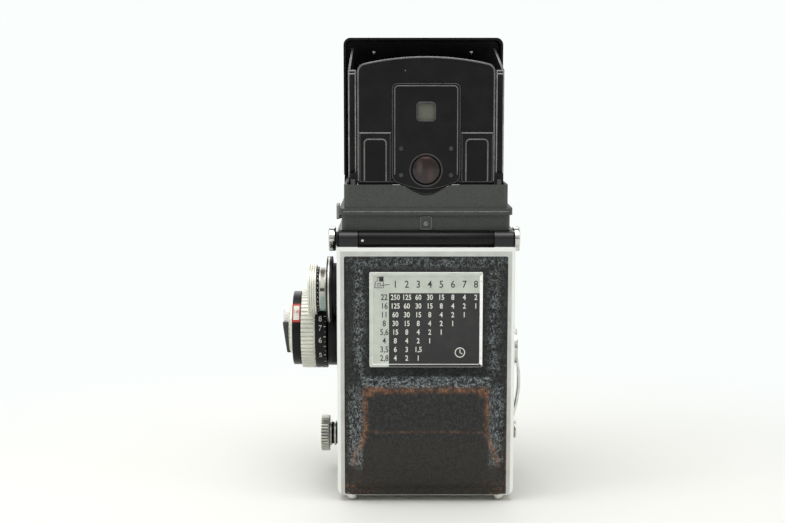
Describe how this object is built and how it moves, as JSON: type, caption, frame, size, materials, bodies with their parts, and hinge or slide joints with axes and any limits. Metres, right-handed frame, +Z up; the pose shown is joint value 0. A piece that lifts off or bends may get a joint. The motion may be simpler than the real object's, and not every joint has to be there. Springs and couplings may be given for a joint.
{
  "type": "twin lens reflex camera",
  "caption": "Twin lens reflex film camera with an open folding hood, hinged back, focusing lens board, winding crank and tripod socket.",
  "frame": {"origin": "mouth of the tripod socket, in the plane the camera stands on", "axes": "+Z up, the lenses face -Y, the hinged back faces +Y, the focusing knob is on +X and the winding crank on -X"},
  "size_m": [0.112, 0.108, 0.2088],
  "materials": {
    "black_paint": "semi-gloss",
    "blued_steel": "spring steel",
    "cast": "black anodised",
    "chrome": "bright",
    "grey_enamel": "satin",
    "grey_paint": "fine crinkle",
    "leather_black": "pebbled, worn at the edges",
    "mirror": "silvered",
    "olive_glass": "tinted",
    "optical_glass": "coated",
    "plate_print": "enamelled plate",
    "satin_chrome": "satin, aged",
    "screen_glass": "ground",
    "steel": "turned"
  },
  "bodies": {
    "body": {"body_shell": "cast", "side_plate_focus": "grey_enamel", "side_plate_crank": "grey_enamel", "side_leathers": "leather_black", "front_plate": "satin_chrome", "front_leather": "leather_black", "light_cone": "black_paint", "film_gate": "steel", "mirror": "mirror", "focusing_screen": "screen_glass", "strap_lugs": "chrome", "back_hinge": "black_paint", "knob_flange": "black_paint", "crank_bezel": "satin_chrome", "counter_window": "screen_glass", "sync_socket": "chrome", "hood_base": "grey_paint"},
    "roller_top": {"roller_upper": "steel"},
    "roller_bottom": {"roller_lower": "steel"},
    "counter": {"counter_dial": "plate_print"},
    "lens_board": {"lens_standard": "grey_enamel", "shutter_housing": "black_paint", "taking_barrel": "black_paint", "viewing_barrel": "black_paint", "lens_glass": "optical_glass", "iris_blades": "blued_steel"},
    "aperture": {"aperture_wheel": "chrome"},
    "speed": {"speed_wheel": "chrome"},
    "sync": {"sync_lever": "chrome"},
    "focus": {"focus_knob": "satin_chrome", "distance_dial": "black_paint", "focus_shaft": "steel"},
    "film_speed": {"film_speed_dial": "plate_print"},
    "release": {"release_button": "chrome"},
    "lock": {"release_lock": "satin_chrome"},
    "crank": {"wind_crank": "satin_chrome"},
    "handle": {"crank_handle": "chrome"},
    "spool": {"take_up_spool": "steel"},
    "upper_knob": {"take_up_knob": "satin_chrome"},
    "lower_knob": {"supply_knob": "satin_chrome"},
    "back": {"back_cover": "satin_chrome", "back_floor": "satin_chrome", "back_leather": "leather_black", "exposure_table": "plate_print", "pressure_plate": "steel", "pressure_spring": "blued_steel", "feet": "chrome", "tripod_boss": "chrome", "table_screws": "chrome"},
    "latch": {"back_latch": "satin_chrome"},
    "catch": {"hood_catch": "grey_enamel"},
    "lid": {"hood_lid": "black_paint"},
    "flap": {"finder_flap": "black_paint"},
    "loupe": {"magnifier": "black_paint"},
    "side_right": {"hood_side_right": "black_paint"},
    "side_left": {"hood_side_left": "black_paint"},
    "rear_panel": {"hood_back": "black_paint", "eyepiece_lens": "optical_glass", "peep_window": "olive_glass", "hood_rivets": "chrome"}
  },
  "joints": [
    {"name": "focus_turn", "type": "hinge", "parent": "body", "child": "focus", "pos_m": [0.042, -0.004, 0.0726], "axis": [1, 0, 0], "range_deg": [0, 290]},
    {"name": "board_slide", "type": "slide", "parent": "body", "child": "lens_board", "axis": [0, -1, 0], "range_m": [0, 0.0078]},
    {"name": "film_speed_turn", "type": "hinge", "parent": "focus", "child": "film_speed", "pos_m": [0.064, -0.004, 0.0726], "axis": [1, 0, 0], "range_deg": [0, 300]},
    {"name": "aperture_turn", "type": "hinge", "parent": "lens_board", "child": "aperture", "pos_m": [-0.021, -0.045, 0.069], "axis": [0, 1, 0], "range_deg": [0, 280]},
    {"name": "speed_turn", "type": "hinge", "parent": "lens_board", "child": "speed", "pos_m": [0.021, -0.045, 0.069], "axis": [0, 1, 0], "range_deg": [0, 280]},
    {"name": "sync_swing", "type": "hinge", "parent": "lens_board", "child": "sync", "pos_m": [0, -0.053, 0.0262], "axis": [0, 1, 0], "range_deg": [-40, 40]},
    {"name": "release_press", "type": "slide", "parent": "body", "child": "release", "axis": [0, 1, 0], "range_m": [0, 0.002], "stiffness_N_per_m": 300},
    {"name": "lock_turn", "type": "hinge", "parent": "body", "child": "lock", "pos_m": [-0.0325, -0.037, 0.0135], "axis": [0, 1, 0], "range_deg": [0, 60]},
    {"name": "crank_turn", "type": "hinge", "parent": "body", "child": "crank", "pos_m": [-0.042, -0.002, 0.064], "axis": [1, 0, 0], "range_deg": [0, 270]},
    {"name": "handle_spin", "type": "hinge", "parent": "crank", "child": "handle", "pos_m": [-0.044, -0.002, 0.024], "axis": [1, 0, 0], "continuous": true},
    {"name": "spool_turn", "type": "hinge", "parent": "body", "child": "spool", "pos_m": [0, 0.018, 0.0941], "axis": [1, 0, 0], "range_deg": [0, 200]},
    {"name": "counter_turn", "type": "hinge", "parent": "body", "child": "counter", "pos_m": [-0.038, -0.014, 0.1], "axis": [1, 0, 0], "range_deg": [0, 28]},
    {"name": "upper_knob_pull", "type": "slide", "parent": "body", "child": "upper_knob", "axis": [1, 0, 0], "range_m": [0, 0.006], "stiffness_N_per_m": 150},
    {"name": "lower_knob_pull", "type": "slide", "parent": "body", "child": "lower_knob", "axis": [1, 0, 0], "range_m": [0, 0.006], "stiffness_N_per_m": 150},
    {"name": "roller_top_turn", "type": "hinge", "parent": "body", "child": "roller_top", "pos_m": [0, 0.027, 0.0799], "axis": [1, 0, 0], "continuous": true},
    {"name": "roller_bottom_turn", "type": "hinge", "parent": "body", "child": "roller_bottom", "pos_m": [0, 0.027, 0.0143], "axis": [1, 0, 0], "continuous": true},
    {"name": "back_open", "type": "hinge", "parent": "body", "child": "back", "pos_m": [0, 0.0316, 0.1188], "axis": [1, 0, 0], "range_deg": [0, 95]},
    {"name": "latch_turn", "type": "hinge", "parent": "back", "child": "latch", "pos_m": [0, 0, 0.0016], "axis": [0, 0, 1], "range_deg": [0, 90]},
    {"name": "catch_slide", "type": "slide", "parent": "body", "child": "catch", "axis": [0, -1, 0], "range_m": [0, 0.003]},
    {"name": "lid_tilt", "type": "hinge", "parent": "body", "child": "lid", "pos_m": [0, -0.0365, 0.1395], "axis": [1, 0, 0], "range_deg": [-6, 0], "stiffness_Nm_per_rad": 0.08, "springref_deg": 17.19},
    {"name": "flap_swing", "type": "hinge", "parent": "lid", "child": "flap", "pos_m": [0, -0.0432, 0.1914], "axis": [1, 0, 0], "range_deg": [0, 50]},
    {"name": "loupe_swing", "type": "hinge", "parent": "flap", "child": "loupe", "pos_m": [0, -0.0419, 0.1862], "axis": [1, 0, 0], "range_deg": [0, 90]},
    {"name": "side_right_fold", "type": "hinge", "parent": "body", "child": "side_right", "pos_m": [0.0339, 0, 0.1392], "axis": [0, -1, 0], "range_deg": [0, 90], "stiffness_Nm_per_rad": 0.006, "springref_deg": -22.92},
    {"name": "side_left_fold", "type": "hinge", "parent": "body", "child": "side_left", "pos_m": [-0.0339, 0, 0.141], "axis": [0, 1, 0], "range_deg": [0, 90], "stiffness_Nm_per_rad": 0.006, "springref_deg": -22.92},
    {"name": "rear_panel_fold", "type": "hinge", "parent": "body", "child": "rear_panel", "pos_m": [0, 0.02755, 0.1432], "axis": [1, 0, 0], "range_deg": [0, 90], "stiffness_Nm_per_rad": 0.006, "springref_deg": -22.92}
  ],
  "couplings": [
    {"joint": "focus_turn", "follows": "board_slide", "rad_per_m": 648.8},
    {"joint": "spool_turn", "follows": "crank_turn", "ratio": 0.74},
    {"joint": "counter_turn", "follows": "crank_turn", "ratio": 0.1}
  ]
}
